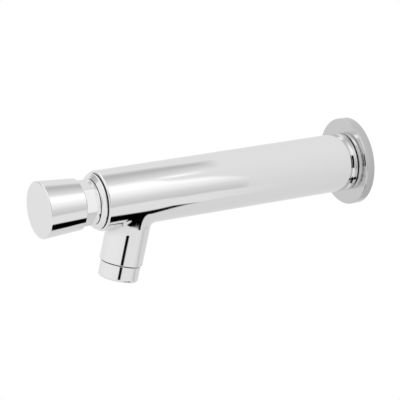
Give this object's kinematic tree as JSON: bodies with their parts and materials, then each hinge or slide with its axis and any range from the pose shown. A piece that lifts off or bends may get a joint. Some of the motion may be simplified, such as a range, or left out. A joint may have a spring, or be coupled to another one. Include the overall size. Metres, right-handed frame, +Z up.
{
  "type": "push timed tap",
  "caption": "Wall-mounted push timed tap in polished chrome: round barrel on a disc flange, tapered button at the front, short forward-leaning spout with an aerator.",
  "frame": {"origin": "on the barrel's axis, at the wall plane that the flange's back lies on", "axes": "+Z up, +Y into the wall along the barrel's axis, so the button faces -Y; +X to the right seen from the front"},
  "size_m": [0.063, 0.264, 0.0929],
  "materials": {
    "chrome_polish": "polished chrome plate on brass",
    "raw_brass": "turned, unplated",
    "stainless_steel": "turned stainless steel",
    "black_rubber": "smooth moulded rubber",
    "foam": "closed-cell foam",
    "white_plastic": "moulded acetal"
  },
  "bodies": {
    "body": {"wall_flange": "chrome_polish", "flange_gasket": "foam", "inlet_plug": "chrome_polish", "plug_seal": "black_rubber", "inlet_nipple": "raw_brass", "inlet_strainer": "stainless_steel", "body_tube": "chrome_polish", "spout": "chrome_polish", "spout_blend": "chrome_polish", "aerator_washer": "black_rubber", "flow_regulator": "white_plastic", "aerator_insert": "white_plastic", "aerator_housing": "chrome_polish", "valve_seat": "stainless_steel", "seat_seal": "black_rubber", "cartridge_housing": "raw_brass", "cartridge_seals": "black_rubber", "stem_guide": "white_plastic", "stem_seal": "black_rubber", "collar": "chrome_polish", "collar_seal": "black_rubber", "return_spring": "stainless_steel"},
    "press": {"push_button": "chrome_polish", "button_locknut": "stainless_steel", "button_slide_ring": "white_plastic", "stem": "stainless_steel", "stop_clip": "stainless_steel", "piston": "white_plastic", "piston_cup_seal": "black_rubber", "timing_screw": "raw_brass", "valve_carrier": "raw_brass", "valve_washer": "black_rubber", "valve_nut": "stainless_steel"}
  },
  "joints": [
    {"name": "button_press", "type": "slide", "parent": "body", "child": "press", "axis": [0, 1, 0], "range_m": [0, 0.006], "stiffness_N_per_m": 1800, "springref_m": -0.007, "deforming": ["return_spring"]}
  ]
}
